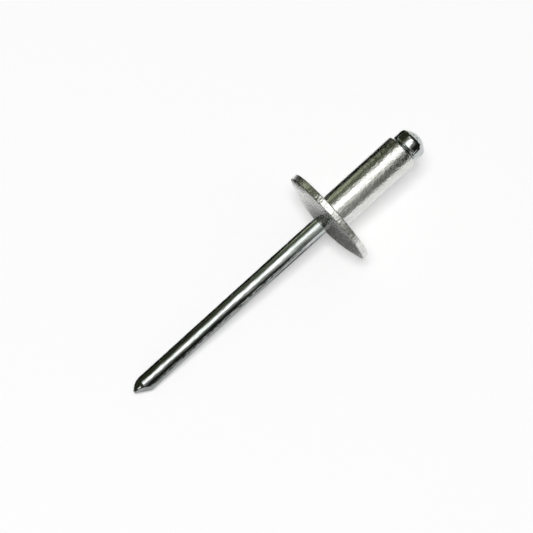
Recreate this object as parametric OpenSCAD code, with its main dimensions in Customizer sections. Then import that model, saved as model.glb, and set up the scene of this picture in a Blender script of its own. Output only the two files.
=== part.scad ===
// Blind rivet, not yet set: a hollow body with one large domed flange, pre-loaded on a headed mandrel.
// Each piece is turned about its own axis with the flange's bearing face at z = 0, the tail and the
// mandrel's head above it and the mandrel's point below. The rivet is then laid down as it comes to
// rest, on the rim of the flange and the start of the mandrel's point. All lengths are millimetres.

/* [Rivet body] */
// Outside diameter of the hollow body
body_d = 4; // [3.7:0.1:4.8]
// Length of the body, from the flange's bearing face to its tail
body_len = 10.3; // [6:0.1:20]
// Diameter of the large flange
flange_d = 11.65; // [9:0.05:16]
// Thickness of the flange at its rim
rim_h = 0.8; // [0.6:0.05:1.2]
// Rise of the shallow dome on the outer face of the flange
dome_h = 1; // [0.5:0.05:1.6]
// Radius on both edges of the rim
rim_round = 0.16; // [0.06:0.02:0.24]
// Radius of the fillet between the body and the bearing face
root_fillet = 0.15; // [0.1:0.05:0.6]
// Radius on the outer edge of the tail
tail_round = 0.15; // [0.05:0.05:0.25]
// Bevel at the tail's mouth of the bore, where the mandrel's head bears
mouth_bevel = 0.12; // [0.08:0.01:0.16]
// Bevel at the dome's mouth of the bore
dome_bevel = 0.06; // [0.03:0.01:0.12]

/* [Mandrel shank] */
// Diameter of the mandrel's shank
shank_d = 2; // [1.7:0.05:2.2]
// Clearance between the shank and the wall of the bore, all round
bore_gap = 0.05; // [0.03:0.01:0.07]
// Length of the mandrel that stands out of the dome, with its point
pull_len = 27; // [18:0.1:36]

/* [Stake] */
// Depth of the ring that is pressed into the shank just inside the dome, to keep the two together
stake_depth = 0.09; // [0.07:0.01:0.12]
// Length of that ring along the shank
stake_len = 0.8; // [0.7:0.02:0.9]
// Distance from the dome's mouth to the middle of the ring
stake_in = 0.52; // [0.48:0.01:0.6]

/* [Mandrel head] */
// Diameter of the head at its barrel
head_d = 3.65; // [3.4:0.05:3.9]
// Height of the barrel, from the tail of the body to the flat that carries the crown
barrel_h = 1.93; // [1.6:0.01:2.4]
// Radius under the barrel, on the side of the body
under_round = 0.55; // [0.2:0.05:0.55]
// Radius of the shoulder at the far end of the barrel
shoulder_round = 0.73; // [0.3:0.01:0.9]
// Diameter of the crown where it leaves the barrel
crown_d = 2.67; // [1.6:0.01:2.8]
// Rise of the crown above the barrel
crown_h = 0.5; // [0.2:0.05:0.7]

/* [Break neck] */
// Distance from the head to the narrowest place of the neck
neck_at = 1.6; // [0.8:0.1:4]
// Thickness left between two opposite crimps
neck_w = 1.3; // [0.9:0.05:1.4]
// Length of each crimp along the shank
neck_len = 0.7; // [0.3:0.05:1]

/* [Point] */
// Length of the rounded nose
point_len = 1.57; // [1:0.01:2.5]
// Diameter of the blunt end
blunt_d = 0.54; // [0.2:0.02:0.8]
// Turn of the first flat about the axis, in degrees from the side that lies on the surface
turn_a = 156; // [150:1:162]
// Lean of the first flat, in degrees from the axis
lean_a = 19; // [12:1:24]
// How far past the start of the nose the first flat begins
start_a = 0.1; // [0:0.05:0.4]
// Turn of the second flat
turn_b = 246; // [240:1:252]
// Lean of the second flat
lean_b = 25; // [18:1:34]
// How far before the start of the nose the second flat begins
start_b = 0.15; // [0:0.05:0.3]
// Turn of the third flat
turn_c = 300; // [296:1:304]
// Lean of the third flat
lean_c = 29; // [22:1:34]
// How far before the start of the nose the third flat begins
start_c = 0.15; // [0:0.05:0.3]
// Turn of the fourth flat
turn_d = 66; // [60:1:72]
// Lean of the fourth flat
lean_d = 14; // [10:1:20]
// How far past the start of the nose the fourth flat begins
start_d = 0.1; // [0:0.05:0.4]

/* [Hidden] */
$fn = 96;

body_r = body_d / 2;
flange_r = flange_d / 2;
shank_r = shank_d / 2;
head_r = head_d / 2;
crown_r = crown_d / 2;
blunt_r = blunt_d / 2;
bore_r = shank_r + bore_gap;

// Reach of cuts past the surface that they open
past = 1;

// The dome is a cap of a sphere through the rim's outer edge
rim_z = -rim_h;
dome_z = rim_z - dome_h;
dome_sphere_r = (flange_r ^ 2 + dome_h ^ 2) / (2 * dome_h);
dome_centre_z = dome_z + dome_sphere_r;

// Centre of the rounded edge between the dome and the rim, and the way from the dome's centre to it
edge_r = flange_r - rim_round;
edge_z = dome_centre_z - sqrt((dome_sphere_r - rim_round) ^ 2 - edge_r ^ 2);
edge_angle = atan2(edge_z - dome_centre_z, edge_r);

// The crown is a cap of a sphere too, and the head bears on the tail of the body
head_z = body_len;
crown_sphere_r = (crown_r ^ 2 + crown_h ^ 2) / (2 * crown_h);
crown_centre_z = head_z + barrel_h + crown_h - crown_sphere_r;

// The fillet under the head stays inside the bevel of the bore
head_fillet = mouth_bevel - bore_gap;

// The stake is an arc seen in section: the ring in the shank and the lip of the bore that sits in
// it share one centre, and the bore's clearance lies between them too
stake_z = dome_z + stake_in;
stake_r = (stake_depth ^ 2 + (stake_len / 2) ^ 2) / (2 * stake_depth);
stake_centre = [shank_r - stake_depth + stake_r, stake_z];

// The nose is a round that touches the shank at nose_z and ends at the blunt tip
tip_z = dome_z - pull_len;
nose_z = tip_z + point_len;
nose_in = shank_r - blunt_r;
nose_round = (point_len ^ 2 + nose_in ^ 2) / (2 * nose_in);

// At rest the surface touches two rounds: the flange's edge and the nose. The slope of the axis is
// that of their common tangent
rest_run = edge_z - nose_z;
rest_rise = edge_r - shank_r + nose_round;
rest_slope = atan2(rest_rise, rest_run) + asin((rim_round - nose_round) / norm([rest_run, rest_rise]));
rest_lift = edge_r * cos(rest_slope) - edge_z * sin(rest_slope) + rim_round;

// Middle of the lying rivet between the far end of the crown and the blunt tip
far_x = crown_centre_z * cos(rest_slope) + crown_sphere_r;
near_x = tip_z * cos(rest_slope) - blunt_r * sin(rest_slope);
middle_x = (far_x + near_x) / 2;

// Lays a piece down: +Z leans over to +X, and the lowest points of the rivet come to z = 0
module lying() {
    translate([-middle_x, 0, rest_lift]) rotate([0, 90 - rest_slope, 0]) children();
}

// Rounds off a corner of a profile. Of what lies between two angles seen from a centre, only the
// disc of radius r about that centre stays
module rounded_off(centre, r, from_angle, to_angle) {
    reach = r + past;
    middle = (from_angle + to_angle) / 2;
    difference() {
        children();
        translate(centre) difference() {
            polygon([[0, 0],
                reach * [cos(from_angle), sin(from_angle)],
                2 * reach * [cos(middle), sin(middle)],
                reach * [cos(to_angle), sin(to_angle)]]);
            circle(r);
        }
    }
}

// Concave fillet in the corner at a point, on the side that the two signs give
module fillet(corner, r, side_x, side_y) {
    translate(corner) difference() {
        translate([side_x < 0 ? -r : 0, side_y < 0 ? -r : 0]) square(r);
        translate([side_x * r, side_y * r]) circle(r);
    }
}

// Section of the flange from the axis to its rim: dome below, bearing face above
module flange_section() {
    rounded_off([edge_r, -rim_round], rim_round, 0, 90)
        rounded_off([edge_r, edge_z], rim_round, edge_angle, 0)
            intersection() {
                translate([0, dome_centre_z]) circle(dome_sphere_r);
                translate([0, dome_z]) square([flange_r, -dome_z]);
            }
}

// Bevel that opens the bore at a height, towards above (1) or below (-1)
module mouth(z, towards, bevel) {
    polygon([[0, z - towards * bevel],
        [bore_r, z - towards * bevel],
        [bore_r + bevel + past, z + towards * past],
        [0, z + towards * past]]);
}

// Height of the dome's surface where the bore comes out of it
function dome_at(r) = dome_centre_z - sqrt(dome_sphere_r ^ 2 - r ^ 2);

module rivet_body() {
    color([0.80, 0.80, 0.78]) lying() rotate_extrude() difference() {
        union() {
            flange_section();
            rounded_off([body_r - tail_round, body_len - tail_round], tail_round, 0, 90)
                translate([0, rim_z]) square([body_r, body_len - rim_z]);
            fillet([body_r, 0], root_fillet, 1, 1);
        }
        difference() {
            translate([0, dome_z - past]) square([bore_r, body_len - dome_z + 2 * past]);
            translate(stake_centre) circle(stake_r - bore_gap);
        }
        mouth(body_len, 1, mouth_bevel);
        mouth(dome_at(bore_r + dome_bevel), -1, dome_bevel);
    }
}

// Section of the head: a barrel rounded at both ends, with the crown on its far end
module head_section() {
    translate([0, head_z]) {
        rounded_off([head_r - under_round, under_round], under_round, -90, 0)
            rounded_off([head_r - shoulder_round, barrel_h - shoulder_round], shoulder_round, 0, 90)
                square([head_r, barrel_h]);
        intersection() {
            translate([0, crown_centre_z - head_z]) circle(crown_sphere_r);
            translate([0, barrel_h / 2]) square([head_r, barrel_h / 2 + crown_h]);
        }
    }
}

// Section of the shank with its rounded nose and the staked ring, up to the middle of the head
module shank_section() {
    difference() {
        translate([0, tip_z]) square([shank_r, head_z + barrel_h / 2 - tip_z]);
        translate([shank_r - nose_round, nose_z]) difference() {
            translate([0, -point_len - past]) square([nose_round + past, point_len + past]);
            circle(nose_round);
        }
        translate(stake_centre) circle(stake_r);
    }
}

// One crimp of the break neck: a V pressed in across the shank, neck_len long at the surface
module crimp() {
    depth = shank_r - neck_w / 2;
    spread = (depth + past) * neck_len / 2 / depth;
    translate([0, shank_r, head_z - neck_at]) rotate([90, 0, 0]) linear_extrude(shank_d)
        polygon([[neck_w / 2, 0], [shank_r + past, spread], [shank_r + past, -spread]]);
}

// One flat of the point, cut by a face that leans in towards the tip from where it begins
module point_flat(turn, start_z, lean) {
    rotate([0, 0, turn]) translate([shank_r, -shank_r, start_z]) rotate([0, lean, 0])
        translate([0, 0, -2 * point_len]) cube([shank_d, shank_d, 2 * point_len]);
}

module mandrel() {
    color([0.62, 0.64, 0.65]) lying() difference() {
        rotate_extrude() intersection() {
            union() {
                shank_section();
                head_section();
                fillet([shank_r, head_z], head_fillet, 1, -1);
            }
            translate([0, tip_z]) square([head_r, head_z + barrel_h + crown_h - tip_z]);
        }
        for (turn = [0 : 90 : 270]) rotate([0, 0, turn]) crimp();
        point_flat(turn_a, nose_z - start_a, lean_a);
        point_flat(turn_b, nose_z + start_b, lean_b);
        point_flat(turn_c, nose_z + start_c, lean_c);
        point_flat(turn_d, nose_z - start_d, lean_d);
    }
}

rivet_body();
mandrel();
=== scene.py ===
from math import acos, asin, atan2, ceil, cos, hypot, pi, radians, sin, sqrt, tan

import bmesh
import bpy
from mathutils import Matrix, Vector, noise


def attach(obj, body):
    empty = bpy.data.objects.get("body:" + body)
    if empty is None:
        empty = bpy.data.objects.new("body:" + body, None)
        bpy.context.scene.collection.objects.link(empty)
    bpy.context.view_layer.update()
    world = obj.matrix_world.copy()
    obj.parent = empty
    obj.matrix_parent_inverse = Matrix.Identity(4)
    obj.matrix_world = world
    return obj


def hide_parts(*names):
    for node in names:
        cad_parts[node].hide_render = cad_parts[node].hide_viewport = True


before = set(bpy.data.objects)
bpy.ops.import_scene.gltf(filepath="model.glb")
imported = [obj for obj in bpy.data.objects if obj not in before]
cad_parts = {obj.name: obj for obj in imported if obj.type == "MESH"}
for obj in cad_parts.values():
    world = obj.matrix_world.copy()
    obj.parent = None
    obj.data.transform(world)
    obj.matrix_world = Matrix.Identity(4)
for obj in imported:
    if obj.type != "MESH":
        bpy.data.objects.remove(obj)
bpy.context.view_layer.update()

# The camera looks down on the lying rivet, steeply and from the side of the mandrel's point, as the
# photograph does. The rivet then runs from the lower left to the upper right of a square picture.
view_azimuth = radians(-41.217)
view_elevation = radians(71.365)
view_distance = 0.1667
aim_right = -0.001181
aim_up = 0.001127
picture_side = 533
focal_pixels = 1500
sensor_side = 36
nearest_seen = 0.005
farthest_seen = 20

rightwards = Vector((cos(view_azimuth), sin(view_azimuth), 0))
backwards = Vector((
    sin(view_azimuth) * cos(view_elevation),
    -cos(view_azimuth) * cos(view_elevation),
    sin(view_elevation),
))
upwards = backwards.cross(rightwards)
camera_data = bpy.data.cameras.new("camera")
camera_data.sensor_width = sensor_side
camera_data.lens = focal_pixels / picture_side * sensor_side
camera_data.clip_start = nearest_seen
camera_data.clip_end = farthest_seen
camera = bpy.data.objects.new("camera", camera_data)
camera_place = Matrix((rightwards, upwards, backwards)).transposed().to_4x4()
camera_place.translation = rightwards * aim_right + upwards * aim_up + backwards * view_distance
camera.matrix_world = camera_place
bpy.context.scene.collection.objects.link(camera)
bpy.context.scene.camera = camera
bpy.context.scene.view_settings.view_transform = "Standard"

# The surface is a wide white table whose paint glows a little itself, a painted light that keeps
# the shadow light. The world and one large lamp overhead light it too, so that it shows white
# with a light, soft shadow under the rivet.
table_side = 4
table_white = (0.97, 0.97, 0.97, 1)
table_glow = 0.35
table_roughness = 0.9
world_light = 0.2
lamp_height = 1
lamp_side = 0.3
lamp_power = 4.88
lamp_tip_step = -0.18
lamp_front_step = -0.1


def new_mesh_object(name, bm):
    mesh = bpy.data.meshes.new(name)
    bm.to_mesh(mesh)
    bm.free()
    made = bpy.data.objects.new(name, mesh)
    bpy.context.scene.collection.objects.link(made)
    return made


def new_material(name):
    material = bpy.data.materials.new(name)
    material.use_nodes = True
    return material


def add_node(material, kind, settings=None, sockets=None):
    made = material.node_tree.nodes.new(kind)
    for key, value in (settings or {}).items():
        setattr(made, key, value)
    for key, value in (sockets or {}).items():
        made.inputs[key].default_value = value
    return made


def join(material, output, socket):
    material.node_tree.links.new(output, socket)


bm = bmesh.new()
bmesh.ops.create_grid(bm, x_segments=1, y_segments=1, size=table_side / 2)
table = new_mesh_object("table", bm)
table_paint = new_material("table_white")
table_shader = table_paint.node_tree.nodes["Principled BSDF"]
table_shader.inputs["Base Color"].default_value = table_white
table_shader.inputs["Roughness"].default_value = table_roughness
table_shader.inputs["Specular IOR Level"].default_value = 0
table_shader.inputs["Emission Color"].default_value = (1, 1, 1, 1)
table_shader.inputs["Emission Strength"].default_value = table_glow
table.data.materials.append(table_paint)

world = bpy.data.worlds.new("studio")
world.use_nodes = True
bpy.context.scene.world = world
world.cycles_visibility.glossy = False
world_shader = world.node_tree.nodes["Background"]
world_shader.inputs["Color"].default_value = (1, 1, 1, 1)
ray = add_node(world, "ShaderNodeLightPath")
seen = add_node(world, "ShaderNodeMath", {"operation": "MAXIMUM"})
join(world, ray.outputs["Is Camera Ray"], seen.inputs[0])
join(world, ray.outputs["Is Glossy Ray"], seen.inputs[1])
seen_too = add_node(world, "ShaderNodeMath", {"operation": "MAXIMUM"})
join(world, seen.outputs[0], seen_too.inputs[0])
join(world, ray.outputs["Is Transmission Ray"], seen_too.inputs[1])
strength = add_node(world, "ShaderNodeMapRange", None, {"To Min": world_light, "To Max": 1})
join(world, seen_too.outputs[0], strength.inputs["Value"])
join(world, strength.outputs["Result"], world_shader.inputs["Strength"])

lamp_data = bpy.data.lights.new("overhead", "AREA")
lamp_data.shape = "SQUARE"
lamp_data.size = lamp_side
lamp_data.energy = lamp_power
lamp = bpy.data.objects.new("overhead", lamp_data)
lamp.location = (lamp_tip_step, lamp_front_step, lamp_height)
lamp.visible_glossy = False
bpy.context.scene.collection.objects.link(lamp)

# What the metal mirrors is a glowing hood over the table, a painted reflection: dark cloth, with
# one bright window across its top, which paints the metal's highlight, and a small one low at the
# end of the point. Black cards lie on the table behind the rivet, with a notch beside the flange,
# and in front of the mandrel; they paint dark reflections where the white table would be mirrored.
# Only reflections see these.
hood_radius = 1.4
hood_sides = 48
hood_rows = 24
window_strength = 1.9
window_tip_side = radians(-26)
window_head_side = radians(30)
window_fade = radians(3)
second_window_strength = 1.7
second_window_sides = (radians(2), radians(22))
second_window_lengths = (radians(-70), radians(-48))
# Stops are given in degrees from the top, behind the rivet counted as more than 0
window_stops = (
    (-46, (0, 0, 0, 1)),
    (-34, (0.07, 0.07, 0.07, 1)),
    (-21, (0.18, 0.18, 0.18, 1)),
    (-14, (0.6, 0.6, 0.6, 1)),
    (-10, (1, 1, 1, 1)),
    (13.5, (1, 1, 1, 1)),
    (19, (0.5, 0.5, 0.5, 1)),
    (27.5, (0.17, 0.17, 0.16, 1)),
    (37, (0.05, 0.052, 0.04, 1)),
    (46, (0, 0, 0, 1)),
)
# The cloth glows dimly; its bright stops low in front, at -90 and -86.5, are a glowing band, a painted
# reflection of light along the metal's lower edge
cloth_and_low_glow_stops = (
    (-90, (0.8, 0.8, 0.79, 1)),
    (-86.5, (0.6, 0.6, 0.59, 1)),
    (-84, (0.02, 0.022, 0.018, 1)),
    (-50, (0.012, 0.014, 0.010, 1)),
    (-20, (0.05, 0.055, 0.04, 1)),
    (30, (0.07, 0.077, 0.05, 1)),
    (50, (0.03, 0.035, 0.02, 1)),
)

bm = bmesh.new()
bmesh.ops.create_uvsphere(bm, u_segments=hood_sides, v_segments=hood_rows, radius=hood_radius)
hood = new_mesh_object("hood", bm)
cloth = new_material("hood_cloth")
cloth.node_tree.nodes.remove(cloth.node_tree.nodes["Principled BSDF"])
glow = add_node(cloth, "ShaderNodeEmission")
join(cloth, glow.outputs[0], cloth.node_tree.nodes["Material Output"].inputs["Surface"])
where = add_node(cloth, "ShaderNodeTexCoord")
parts = add_node(cloth, "ShaderNodeSeparateXYZ")
join(cloth, where.outputs["Object"], parts.inputs[0])
sideways = add_node(cloth, "ShaderNodeMath", {"operation": "ARCTAN2"})
join(cloth, parts.outputs["Y"], sideways.inputs[0])
join(cloth, parts.outputs["Z"], sideways.inputs[1])
share_across = add_node(cloth, "ShaderNodeMapRange", None, {"From Min": -pi / 2, "From Max": pi / 2})
join(cloth, sideways.outputs[0], share_across.inputs["Value"])


def shades_across(stops):
    ramp = add_node(cloth, "ShaderNodeValToRGB")
    join(cloth, share_across.outputs["Result"], ramp.inputs["Fac"])
    ramp.color_ramp.elements.remove(ramp.color_ramp.elements[1])
    for number, (degrees_from_top, colour) in enumerate(stops):
        place = (degrees_from_top + 90) / 180
        stop = ramp.color_ramp.elements[0] if number == 0 else ramp.color_ramp.elements.new(place)
        stop.position = place
        stop.color = colour
    return ramp.outputs["Color"]


def soft_step(value, low, high, top=1):
    step = add_node(cloth, "ShaderNodeMapRange", {"interpolation_type": "SMOOTHSTEP"})
    step.inputs["From Min"].default_value = low
    step.inputs["From Max"].default_value = high
    step.inputs["To Max"].default_value = top
    join(cloth, value, step.inputs["Value"])
    return step.outputs["Result"]


def product(material, first, second):
    made = add_node(material, "ShaderNodeMath", {"operation": "MULTIPLY"})
    join(material, first, made.inputs[0])
    join(material, second, made.inputs[1])
    return made.outputs[0]


def soft_band(value, low, high, top):
    rise = soft_step(value, low - window_fade, low + window_fade, top)
    return product(cloth, rise, soft_step(value, high + window_fade, high - window_fade))


def sum_of(first, second):
    made = add_node(cloth, "ShaderNodeVectorMath", {"operation": "ADD"})
    join(cloth, first, made.inputs[0])
    join(cloth, second, made.inputs[1])
    return made.outputs[0]


across_length = add_node(cloth, "ShaderNodeVectorMath", {"operation": "MULTIPLY"})
across_length.inputs[1].default_value = (0, 1, 1)
join(cloth, where.outputs["Object"], across_length.inputs[0])
from_line = add_node(cloth, "ShaderNodeVectorMath", {"operation": "LENGTH"})
join(cloth, across_length.outputs[0], from_line.inputs[0])
lengthways = add_node(cloth, "ShaderNodeMath", {"operation": "ARCTAN2"})
join(cloth, parts.outputs["X"], lengthways.inputs[0])
join(cloth, from_line.outputs["Value"], lengthways.inputs[1])
window = add_node(cloth, "ShaderNodeVectorMath", {"operation": "SCALE"})
join(cloth, shades_across(window_stops), window.inputs[0])
along = soft_band(lengthways.outputs[0], window_tip_side, window_head_side, window_strength)
join(cloth, along, window.inputs["Scale"])
second_window = product(
    cloth,
    soft_band(sideways.outputs[0], *second_window_sides, 1),
    soft_band(lengthways.outputs[0], *second_window_lengths, second_window_strength),
)
windows = sum_of(window.outputs[0], second_window)
join(cloth, sum_of(shades_across(cloth_and_low_glow_stops), windows), glow.inputs["Color"])
hood.data.materials.append(cloth)

card_height = 0.00004
card_colour = (0.006, 0.007, 0.004, 1)
notch = ((0.0080, 0.0155), (0.0101, 0.0155))
# A card has the points of its near edge and its reach away from the rivet
cards = (
    ("card_behind", ((-0.17, -0.0315), (0.0076, 0.0083), *notch, (0.0106, 0.0079), (0.13, 0.0357)), 0.3),
    ("card_in_front", ((-0.022, -0.0055), (0.006, -0.021)), -0.08),
)


def sheet(line, way):
    bm = bmesh.new()
    corners = [bm.verts.new(place) for place in line]
    edges = [bm.edges.new(pair) for pair in zip(corners, corners[1:])]
    made = bmesh.ops.extrude_edge_only(bm, edges=edges)["geom"]
    far_corners = [part for part in made if isinstance(part, bmesh.types.BMVert)]
    bmesh.ops.translate(bm, vec=way, verts=far_corners)
    return bm


def only_mirrored(thing):
    thing.visible_camera = False
    thing.visible_diffuse = False
    thing.visible_transmission = False
    thing.visible_shadow = False


only_mirrored(hood)
card_black = new_material("card_black")
card_shader = card_black.node_tree.nodes["Principled BSDF"]
card_shader.inputs["Base Color"].default_value = card_colour
card_shader.inputs["Specular IOR Level"].default_value = 0
for name, near_edge, reach in cards:
    bm = sheet([(x, y, card_height) for x, y in near_edge], (0, reach, 0))
    card = new_mesh_object(name, bm)
    card.data.materials.append(card_black)
    only_mirrored(card)

# Four small glowing screens stand round the rivet, two behind it and two in front; their glow paints
# reflected bands into the metal. Two soft patches of painted shade lie on the table, one along the
# mandrel and one by the flange: a painted shadow on the mirrored table. Only reflections see them.
# Glow colours of the screens, painted reflection in the metal
olive_dim_glow = (0.115, 0.13, 0.088, 1)
olive_light_glow = (0.5, 0.54, 0.385, 1)
pale_grey_glow = (0.76, 0.78, 0.73, 1)
low_grey_glow = (0.19, 0.195, 0.18, 1)
# A screen has its two ends, its distance from the rivet, its foot and height, the middle and the
# reach of its fade, and its colour, a glow that paints reflection
screens = (
    ("screen_behind", (-0.020, 0.0165), 0.030, (0.0102, 0.050), (0.006, 0.020), (0.024, 0.05), olive_dim_glow),
    ("strip_behind", (-0.006, 0.0175), 0.029, (0.0102, 0.013), (0.012, 0.0158), (0.016, 0.007), olive_light_glow),
    ("screen_in_front", (-0.028, 0.016), -0.030, (0.006, 0.094), (0.004, 0.090), (0.026, 0.078), pale_grey_glow),
    ("low_screen", (0.002, 0.0195), -0.031, (0.0096, 0.034), (0.0115, 0.018), (0.018, 0.024), low_grey_glow),
)
whole_share = 0.35


def fading_board(name, centre, reach, opacity, colour, glowing):
    board = new_material(name)
    tree = board.node_tree
    tree.nodes.remove(tree.nodes["Principled BSDF"])
    face = add_node(board, "ShaderNodeEmission" if glowing else "ShaderNodeBsdfDiffuse")
    face.inputs["Color"].default_value = colour
    clear = add_node(board, "ShaderNodeBsdfTransparent")
    place = add_node(board, "ShaderNodeTexCoord")
    own = add_node(board, "ShaderNodeMapping", {"vector_type": "TEXTURE"})
    own.inputs["Location"].default_value = centre
    own.inputs["Scale"].default_value = reach
    join(board, place.outputs["Object"], own.inputs["Vector"])
    out = add_node(board, "ShaderNodeVectorMath", {"operation": "LENGTH"})
    join(board, own.outputs["Vector"], out.inputs[0])
    cover = add_node(board, "ShaderNodeMapRange", {"interpolation_type": "SMOOTHSTEP"})
    cover.inputs["From Min"].default_value = 1
    cover.inputs["From Max"].default_value = whole_share
    cover.inputs["To Max"].default_value = opacity
    join(board, out.outputs["Value"], cover.inputs["Value"])
    both = add_node(board, "ShaderNodeMixShader")
    join(board, cover.outputs["Result"], both.inputs["Fac"])
    join(board, clear.outputs[0], both.inputs[1])
    join(board, face.outputs[0], both.inputs[2])
    join(board, both.outputs[0], tree.nodes["Material Output"].inputs["Surface"])
    return board


for name, ends, away, (foot, height), (middle_x, middle_z), (reach_x, reach_z), colour in screens:
    screen = new_mesh_object(name, sheet([(x, away, foot) for x in ends], (0, 0, height)))
    screen.data.materials.append(
        fading_board(name, (middle_x, away, middle_z), (reach_x, 1, reach_z), 1, colour, True)
    )
    only_mirrored(screen)

shade_grey = (0.03, 0.03, 0.025, 1)
shades = (
    ("shade_of_mandrel", (-0.012, -0.010, 0.00006), (0.024, 0.028, 1), 0.45),
    ("shade_of_flange", (0.0040, -0.0014, 0.00008), (0.0075, 0.0088, 1), 0.85),
)
for name, centre, reach, opacity in shades:
    bm = bmesh.new()
    bmesh.ops.create_grid(bm, x_segments=1, y_segments=1, size=1)
    bmesh.ops.scale(bm, vec=(reach[0], reach[1], 1), verts=bm.verts)
    bmesh.ops.translate(bm, vec=centre, verts=bm.verts)
    shade = new_mesh_object(name, bm)
    shade.data.materials.append(fading_board(name, centre, reach, opacity, shade_grey, False))
    only_mirrored(shade)

# The rivet rests on the rim of its flange and on the start of the mandrel's nose. Both pieces are
# drawn upright, in millimetres from the flange's seat, and are then laid down as it rests, with
# the middle of the lying rivet over the origin.
mm = 0.001
body_length = 10.3
flange_radius = 5.825
rim_thickness = 0.8
dome_rise = 1.0
rim_rounding = 0.16
shank_radius = 1.0
standing_out = 27.0
nose_length = 1.57
blunt_radius = 0.27
barrel_height = 1.93
crown_radius = 1.335
crown_rise = 0.5

dome_ball = (flange_radius ** 2 + dome_rise ** 2) / (2 * dome_rise)
dome_centre = dome_ball - rim_thickness - dome_rise
edge_reach = flange_radius - rim_rounding
edge_height = dome_centre - sqrt((dome_ball - rim_rounding) ** 2 - edge_reach ** 2)
tip_height = -rim_thickness - dome_rise - standing_out
nose_height = tip_height + nose_length
nose_in = shank_radius - blunt_radius
nose_ball = (nose_length ** 2 + nose_in ** 2) / (2 * nose_in)
crown_ball = (crown_radius ** 2 + crown_rise ** 2) / (2 * crown_rise)
crown_centre = body_length + barrel_height + crown_rise - crown_ball

# The surface touches the round of the rim and that of the nose, so the axis leans as far as their
# common tangent
tangent_run = edge_height - nose_height
tangent_rise = edge_reach - shank_radius + nose_ball
tangent_turn = asin((rim_rounding - nose_ball) / hypot(tangent_run, tangent_rise))
lean_of_axis = atan2(tangent_rise, tangent_run) + tangent_turn
height_of_seat = edge_reach * cos(lean_of_axis) - edge_height * sin(lean_of_axis) + rim_rounding
head_end = crown_centre * cos(lean_of_axis) + crown_ball
tip_end = tip_height * cos(lean_of_axis) - blunt_radius * sin(lean_of_axis)
seat_from_middle = -(head_end + tip_end) / 2
leant_over = Matrix.Rotation(pi / 2 - lean_of_axis, 4, "Y")
laid_down = Matrix.Translation((seat_from_middle * mm, 0, height_of_seat * mm)) @ leant_over

# The rivet's body is one piece of soft aluminium, cold-headed from wire and pierced: a straight
# sleeve under a thin flange with a low dome. Its mouth is staked into a ring of the mandrel.
body_radius = 2.0
root_rounding = 0.15
tail_rounding = 0.15
bore_gap = 0.05
tail_bevel = 0.12
dome_bevel = 0.06
stake_depth = 0.09
stake_half = 0.4
stake_in = 0.52
finest_ring = 0.1
turns = 192
dome_steps = 44
stake_steps = 10
rim_segments = 7
edge_segments = 8
merge_distance = 0.002
length_tolerance = 0.001

bore_radius = shank_radius + bore_gap
stake_ring_radius = (stake_depth ** 2 + stake_half ** 2) / (2 * stake_depth)
stake_centre = (shank_radius - stake_depth + stake_ring_radius, stake_in - rim_thickness - dome_rise)
lip_radius = stake_ring_radius - bore_gap


def corner(bm, radius, height):
    return bm.verts.new((radius * mm, 0, height * mm))


def arc(bm, start, centre, angle, steps):
    made = bmesh.ops.spin(
        bm, geom=[start], cent=(centre[0] * mm, 0, centre[1] * mm), axis=(0, 1, 0),
        angle=angle, steps=steps, use_merge=False,
    )
    return [part for part in made["geom_last"] if isinstance(part, bmesh.types.BMVert)][0]


def round_off(bm, vertex, radius, segments):
    ways = [(edge.other_vert(vertex).co - vertex.co).normalized() for edge in vertex.link_edges]
    turn = pi - ways[0].angle(ways[1])
    bmesh.ops.bevel(
        bm, geom=[vertex], offset=radius * mm * tan(turn / 2), segments=segments, profile=0.5,
        affect="VERTICES", material=-1,
    )


def divide(bm, longest):
    for edge in list(bm.edges):
        pieces = ceil(edge.calc_length() / (longest * mm) - length_tolerance)
        if pieces > 1:
            bmesh.ops.subdivide_edges(bm, edges=[edge], cuts=pieces - 1)


def turn_about_axis(bm):
    bmesh.ops.spin(
        bm, geom=bm.verts[:] + bm.edges[:], cent=(0, 0, 0), axis=(0, 0, 1), angle=2 * pi,
        steps=turns, use_merge=True,
    )
    bmesh.ops.remove_doubles(bm, verts=bm.verts, dist=merge_distance * mm)
    bmesh.ops.recalc_face_normals(bm, faces=bm.faces)
    bm.normal_update()


def finish_piece(name, bm, material):
    bmesh.ops.transform(bm, matrix=laid_down, verts=bm.verts)
    for face in bm.faces:
        face.smooth = True
    piece = new_mesh_object(name, bm)
    piece.data.materials.append(material)
    return piece


def dome_height(radius):
    return dome_centre - sqrt(dome_ball ** 2 - radius ** 2)


mouth_radius = bore_radius + dome_bevel
lip_reach = sqrt(lip_radius ** 2 - (stake_centre[0] - bore_radius) ** 2)
lip_angle = 2 * asin(lip_reach / lip_radius)
bm = bmesh.new()
mouth = corner(bm, mouth_radius, dome_height(mouth_radius))
dome_from = atan2(mouth_radius, dome_centre - dome_height(mouth_radius))
dome_to = asin(flange_radius / dome_ball)
rim_outer = arc(bm, mouth, (0, dome_centre), dome_from - dome_to, dome_steps)
rim_inner = corner(bm, flange_radius, 0)
root = corner(bm, body_radius, 0)
tail = corner(bm, body_radius, body_length)
tail_mouth = corner(bm, bore_radius + tail_bevel, body_length)
bore_end = corner(bm, bore_radius, body_length - tail_bevel)
lip_start = corner(bm, bore_radius, stake_centre[1] + lip_reach)
outline = (rim_outer, rim_inner, root, tail, tail_mouth, bore_end, lip_start)
for pair in zip(outline, outline[1:]):
    bm.edges.new(pair)
lip_end = arc(bm, lip_start, stake_centre, lip_angle, stake_steps)
bore_start = corner(bm, bore_radius, dome_height(mouth_radius) + dome_bevel)
bm.edges.new((lip_end, bore_start))
bm.edges.new((bore_start, mouth))
round_off(bm, rim_outer, rim_rounding, rim_segments)
round_off(bm, rim_inner, rim_rounding, edge_segments)
round_off(bm, root, root_rounding, edge_segments)
round_off(bm, tail, tail_rounding, edge_segments)
divide(bm, finest_ring)
turn_about_axis(bm)

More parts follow.
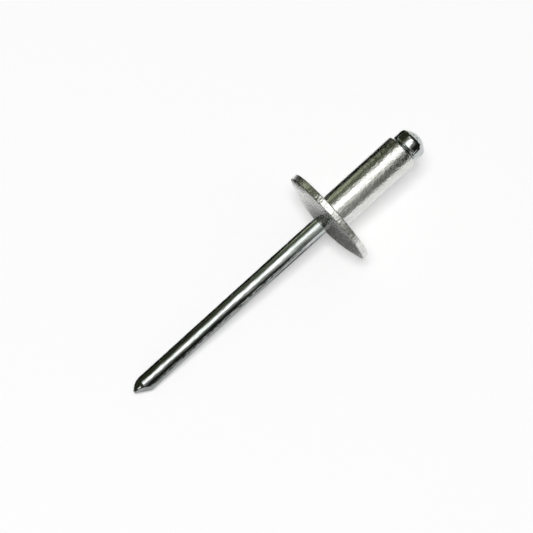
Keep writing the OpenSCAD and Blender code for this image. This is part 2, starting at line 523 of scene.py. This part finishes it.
# One short scratch runs along the sleeve, just clear of the flange
scratch_turn = radians(209.5)
scratch_half_width = 0.10
scratch_from = 0.75
scratch_to = 2.1
scratch_depth = 0.022
scratch_run_out = 0.2
outside_only = body_radius - 0.01
for vertex in bm.verts:
    radius = hypot(vertex.co.x, vertex.co.y) / mm
    height = vertex.co.z / mm
    if radius < outside_only or not scratch_from < height < scratch_to:
        continue
    turn = (atan2(vertex.co.y, vertex.co.x) - scratch_turn + pi) % (2 * pi) - pi
    share = 1 - abs(turn) * body_radius / scratch_half_width
    if share > 0:
        ends = min(1, (height - scratch_from) / scratch_run_out, (scratch_to - height) / scratch_run_out)
        kept = 1 - scratch_depth * share * ends / radius
        vertex.co.x *= kept
        vertex.co.y *= kept

aluminium = new_material("body_aluminium")
body_formed = finish_piece("rivet_body_formed", bm, aluminium)
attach(body_formed, "root")
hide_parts("rivet_body")

aluminium_grey = (0.78, 0.78, 0.76, 1)
aluminium_dull = (0.65, 0.65, 0.62, 1)
patches_per_mm = 1.1
patch_spread = (0.35, 0.65)
patch_depth = 0.04
pores_per_mm = 3
pore_spread = (0.4, 0.6)
pore_roughness = (0.30, 0.15)
pore_depth = 0.042


def along_axis(material, stretch):
    where = add_node(material, "ShaderNodeTexCoord")
    own = add_node(material, "ShaderNodeMapping", {"vector_type": "TEXTURE"})
    own.inputs["Location"].default_value = laid_down.translation
    own.inputs["Rotation"].default_value = (0, pi / 2 - lean_of_axis, 0)
    own.inputs["Scale"].default_value = (mm * stretch[0], mm * stretch[1], mm * stretch[2])
    join(material, where.outputs["Object"], own.inputs["Vector"])
    return own.outputs["Vector"]


def grain(material, place, scale, detail, roughness):
    pattern = add_node(material, "ShaderNodeTexNoise")
    pattern.inputs["Scale"].default_value = scale
    pattern.inputs["Detail"].default_value = detail
    pattern.inputs["Roughness"].default_value = roughness
    join(material, place, pattern.inputs["Vector"])
    return pattern.outputs["Fac"]


def ranged(material, value, low, high, to_low, to_high):
    spread = add_node(material, "ShaderNodeMapRange")
    spread.inputs["From Min"].default_value = low
    spread.inputs["From Max"].default_value = high
    spread.inputs["To Min"].default_value = to_low
    spread.inputs["To Max"].default_value = to_high
    join(material, value, spread.inputs["Value"])
    return spread.outputs["Result"]


def two_colours(material, factor, first, second):
    mix = add_node(material, "ShaderNodeMixRGB")
    mix.inputs["Color1"].default_value = first
    mix.inputs["Color2"].default_value = second
    join(material, factor, mix.inputs["Fac"])
    return mix.outputs["Color"]


def relief(material, value, depth, under=None):
    bump = add_node(material, "ShaderNodeBump")
    bump.inputs["Strength"].default_value = 1
    bump.inputs["Distance"].default_value = depth * mm
    join(material, value, bump.inputs["Height"])
    if under:
        join(material, under, bump.inputs["Normal"])
    return bump.outputs["Normal"]


aluminium_shader = aluminium.node_tree.nodes["Principled BSDF"]
aluminium_shader.inputs["Metallic"].default_value = 1
length_stretch = 1.4
place = along_axis(aluminium, (1, 1, length_stretch))
patches = grain(aluminium, place, patches_per_mm, detail=4, roughness=0.65)
pores = grain(aluminium, place, pores_per_mm, detail=3, roughness=0.6)
bright_share = ranged(aluminium, patches, *patch_spread, 0, 1)
metal_colour = two_colours(aluminium, bright_share, aluminium_dull, aluminium_grey)
join(aluminium, metal_colour, aluminium_shader.inputs["Base Color"])
satin = ranged(aluminium, pores, *pore_spread, *pore_roughness)
join(aluminium, satin, aluminium_shader.inputs["Roughness"])
uneven = relief(aluminium, patches, patch_depth)
grainy = relief(aluminium, pores, pore_depth, uneven)

# The rim was sheared, so it is rougher than the rest
specks_per_mm = 2.4
speck_spread = (0.3, 0.7)
speck_depth = 0.016
rim_whole = 0.19
rim_end = 0.27
height_in_body = add_node(aluminium, "ShaderNodeSeparateXYZ")
join(aluminium, place, height_in_body.inputs[0])
above_rim_middle = add_node(aluminium, "ShaderNodeMath", {"operation": "ADD"})
above_rim_middle.inputs[1].default_value = rim_thickness / 2 / length_stretch
join(aluminium, height_in_body.outputs["Z"], above_rim_middle.inputs[0])
from_rim_middle = add_node(aluminium, "ShaderNodeMath", {"operation": "ABSOLUTE"})
join(aluminium, above_rim_middle.outputs[0], from_rim_middle.inputs[0])
speck_pattern = grain(aluminium, place, specks_per_mm, detail=2, roughness=0.5)
specks = ranged(aluminium, speck_pattern, *speck_spread, -1, 1)
on_rim = ranged(aluminium, from_rim_middle.outputs[0], rim_whole, rim_end, 1, 0)
sheared = relief(aluminium, product(aluminium, specks, on_rim), speck_depth, grainy)
join(aluminium, sheared, aluminium_shader.inputs["Normal"])

# The mandrel is drawn steel wire, plated bright. Its head is upset in a die, its point is sheared
# and swaged to four flats, and its break neck is crimped from four sides, deep in the bore.
head_radius = 1.825
under_rounding = 0.55
shoulder_rounding = 0.73
head_fillet = tail_bevel - bore_gap
neck_from_head = 1.6
neck_width = 1.3
neck_length = 0.7
first_flat = (156, -0.1, 19)
second_flat = (246, 0.15, 25)
third_flat = (300, 0.15, 30.5)
fourth_flat = (66, -0.1, 14)
blunt_rounding = 0.08
edge_softness = 0.02
shank_ring = 0.16
nose_steps = 90
shoulder_steps = 20
crown_steps = 20
under_head_segments = 16
small_segments = 4

nose_angle = asin(nose_length / nose_ball)
stake_angle = 2 * asin(stake_half / stake_ring_radius)
shoulder_centre = (head_radius - shoulder_rounding, body_length + barrel_height - shoulder_rounding)
centres_apart = hypot(shoulder_centre[0], shoulder_centre[1] - crown_centre)
centres_lean = atan2(shoulder_centre[1] - crown_centre, shoulder_centre[0])
shoulder_corner = acos(
    (centres_apart ** 2 + crown_ball ** 2 - shoulder_rounding ** 2) / (2 * centres_apart * crown_ball)
)
crease_angle = centres_lean + shoulder_corner
crease = (crown_ball * cos(crease_angle), crown_centre + crown_ball * sin(crease_angle))
shoulder_angle = atan2(crease[1] - shoulder_centre[1], crease[0] - shoulder_centre[0])

bm = bmesh.new()
pole = corner(bm, 0, tip_height)
blunt_edge = corner(bm, blunt_radius, tip_height)
bm.edges.new((pole, blunt_edge))
nose_end = arc(bm, blunt_edge, (shank_radius - nose_ball, nose_height), -nose_angle, nose_steps)
stake_start = corner(bm, shank_radius, stake_centre[1] - stake_half)
bm.edges.new((nose_end, stake_start))
stake_end = arc(bm, stake_start, stake_centre, stake_angle, stake_steps)
under_head = corner(bm, shank_radius, body_length)
under_edge = corner(bm, head_radius, body_length)
shoulder_start = corner(bm, head_radius, shoulder_centre[1])
for pair in ((stake_end, under_head), (under_head, under_edge), (under_edge, shoulder_start)):
    bm.edges.new(pair)
crease_vertex = arc(bm, shoulder_start, shoulder_centre, -shoulder_angle, shoulder_steps)
arc(bm, crease_vertex, (0, crown_centre), -(pi / 2 - crease_angle), crown_steps)
round_off(bm, under_edge, under_rounding, under_head_segments)
round_off(bm, under_head, head_fillet, small_segments)
round_off(bm, blunt_edge, blunt_rounding, small_segments)
divide(bm, shank_ring)
turn_about_axis(bm)


def cut_in(radius, limit):
    blend = max(edge_softness - abs(radius - limit), 0) / edge_softness
    return min(radius, limit) - blend * blend * edge_softness / 4


on_axis = 0.001
flats_reach = 0.6
least_facing = 0.05
neck_height = body_length - neck_from_head
neck_slope = (shank_radius - neck_width / 2) / (neck_length / 2)
for vertex in bm.verts:
    radius = hypot(vertex.co.x, vertex.co.y) / mm
    if radius < on_axis:
        continue
    height = vertex.co.z / mm
    angle = atan2(vertex.co.y, vertex.co.x)
    cut = radius
    if height < nose_height + flats_reach:
        for turn, start, lean in (first_flat, second_flat, third_flat, fourth_flat):
            facing = cos(angle - radians(turn))
            if facing > least_facing:
                flat = shank_radius - (nose_height + start - height) * tan(radians(lean))
                cut = cut_in(cut, max(flat, 0) / facing)
    if abs(height - neck_height) < neck_length / 2:
        for quarter in range(4):
            facing = cos(angle - quarter * pi / 2)
            if facing > least_facing:
                crimp = neck_width / 2 + abs(height - neck_height) * neck_slope
                cut = min(cut, crimp / facing)
    vertex.co.x *= cut / radius
    vertex.co.y *= cut / radius
bm.normal_update()

# The upset head is a little uneven, and sits slightly off the shank's axis
head_unevenness = 0.08
head_offset = 0.08
offset_turn = radians(285)
lumps_per_mm = 0.9
fine_lumps_per_mm = 2.6
lump_pattern_start = Vector((7, 3, 1))
mean_dent = 0.5
lump_share = 0.9
fine_share = 0.25
flank_from = body_length + 0.25
underside_from = body_length + 0.02
underside_radius = 1.3
for vertex in bm.verts:
    height = vertex.co.z / mm
    radius = hypot(vertex.co.x, vertex.co.y) / mm
    if height > flank_from or (height > underside_from and radius > underside_radius):
        lumps = noise.noise(vertex.co / mm * lumps_per_mm + lump_pattern_start)
        fine = noise.noise(vertex.co / mm * fine_lumps_per_mm)
        dent = max(0, mean_dent + lump_share * lumps + fine_share * fine)
        vertex.co -= vertex.normal * mm * head_unevenness * dent
        moved = head_offset * mm * min(1, max(0, (height - body_length) / under_rounding))
        vertex.co.x += moved * cos(offset_turn)
        vertex.co.y += moved * sin(offset_turn)

steel = new_material("mandrel_steel")
mandrel_drawn = finish_piece("mandrel_drawn", bm, steel)
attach(mandrel_drawn, "root")
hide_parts("mandrel")

steel_bright = (0.62, 0.65, 0.66, 1)
steel_dull = (0.44, 0.47, 0.45, 1)
line_stretch = 18
draw_lines_per_mm = 5
line_depth = 0.009
stain_stretch = 3
stains_per_mm = 1.3
stain_spread = (0.35, 0.65)
gloss_spread = (0.3, 0.7)
steel_roughness = (0.13, 0.06)
rolls_per_mm = 2.4
roll_depth = 0.035
steel_shader = steel.node_tree.nodes["Principled BSDF"]
steel_shader.inputs["Metallic"].default_value = 1
wire = along_axis(steel, (1, 1, line_stretch))
bulk = along_axis(steel, (1, 1, stain_stretch))
draw_lines = grain(steel, wire, draw_lines_per_mm, detail=3, roughness=0.6)
stains = grain(steel, bulk, stains_per_mm, detail=3, roughness=0.6)
steel_colour = two_colours(steel, ranged(steel, stains, *stain_spread, 0, 1), steel_dull, steel_bright)
join(steel, steel_colour, steel_shader.inputs["Base Color"])
gloss = ranged(steel, stains, *gloss_spread, *steel_roughness)
join(steel, gloss, steel_shader.inputs["Roughness"])
drawn = relief(steel, draw_lines, line_depth)
rolls = grain(steel, bulk, rolls_per_mm, detail=2, roughness=0.5)
rolled = relief(steel, rolls, roll_depth, drawn)
join(steel, rolled, steel_shader.inputs["Normal"])
